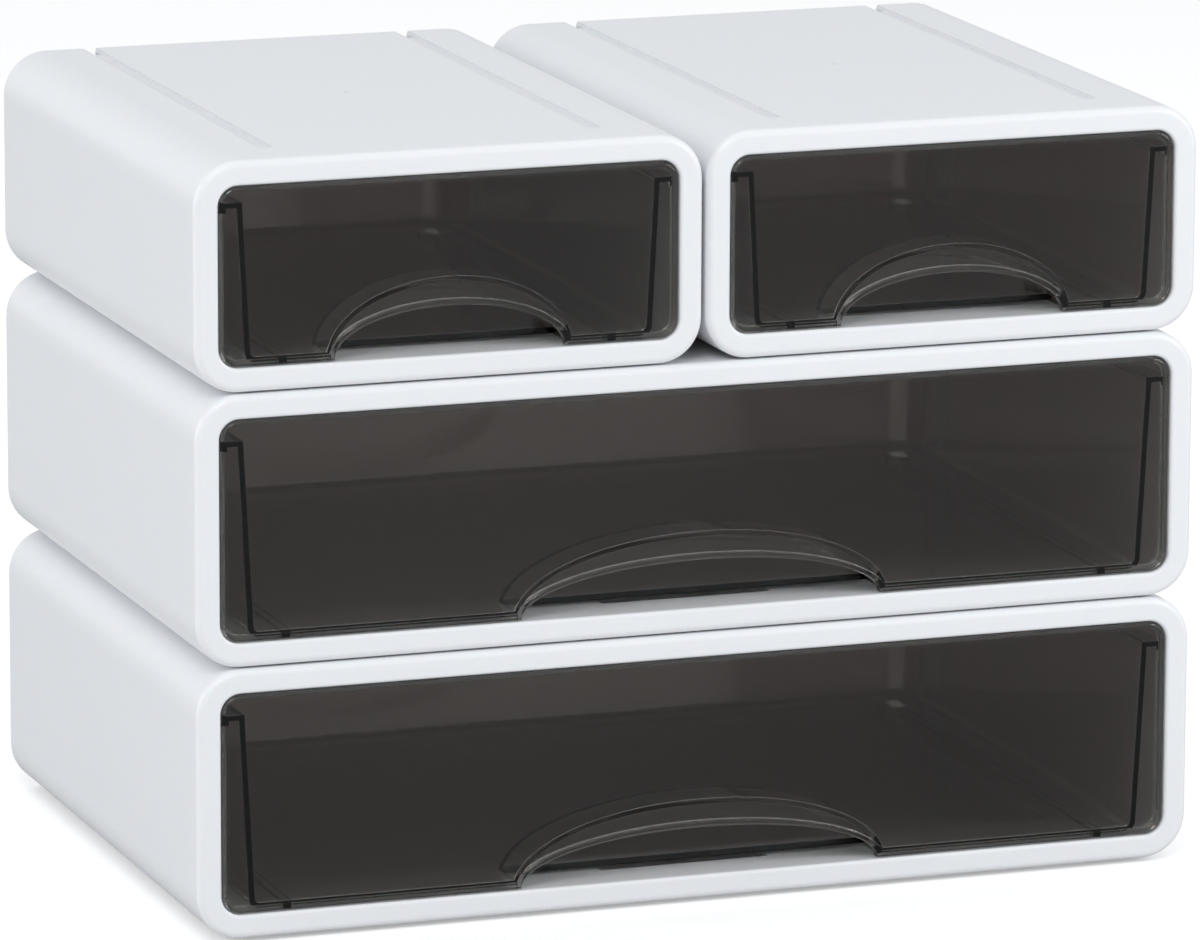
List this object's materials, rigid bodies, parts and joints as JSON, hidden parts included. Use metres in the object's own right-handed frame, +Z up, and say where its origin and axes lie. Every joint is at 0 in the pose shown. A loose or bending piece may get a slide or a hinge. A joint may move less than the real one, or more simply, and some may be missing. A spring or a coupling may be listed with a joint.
{
  "type": "scrapbook paper storage drawers",
  "caption": "Stack of white desktop drawer units for paper and craft tools: wide ones below and narrow ones side by side on top, each with a smoked drawer and an arched pull.",
  "frame": {"origin": "middle of the stack's plan, at the bottom of the rails that it stands on", "axes": "+X to the right seen from the front, +Y to the rear, +Z up; the drawers open towards -Y"},
  "size_m": [0.372, 0.236, 0.2767],
  "materials": {
    "casing": "satin moulded white polypropylene",
    "panel": "fine-textured moulded white polypropylene",
    "drawer": "polished smoke-grey transparent polystyrene"
  },
  "bodies": {
    "stack": {"lower_casing": "casing", "lower_rear_panel": "panel", "middle_casing": "casing", "middle_rear_panel": "panel", "upper_left_casing": "casing", "upper_left_rear_panel": "panel", "upper_right_casing": "casing", "upper_right_rear_panel": "panel"},
    "lower_drawer_body": {"lower_drawer": "drawer"},
    "middle_drawer_body": {"middle_drawer": "drawer"},
    "upper_left_drawer_body": {"upper_left_drawer": "drawer"},
    "upper_right_drawer_body": {"upper_right_drawer": "drawer"}
  },
  "joints": [
    {"name": "lower_drawer_slide", "type": "slide", "parent": "stack", "child": "lower_drawer_body", "axis": [0, -1, 0], "range_m": [0, 0.1681]},
    {"name": "middle_drawer_slide", "type": "slide", "parent": "stack", "child": "middle_drawer_body", "axis": [0, -1, 0], "range_m": [0, 0.1681]},
    {"name": "upper_left_drawer_slide", "type": "slide", "parent": "stack", "child": "upper_left_drawer_body", "axis": [0, -1, 0], "range_m": [0, 0.1689]},
    {"name": "upper_right_drawer_slide", "type": "slide", "parent": "stack", "child": "upper_right_drawer_body", "axis": [0, -1, 0], "range_m": [0, 0.1689]}
  ]
}
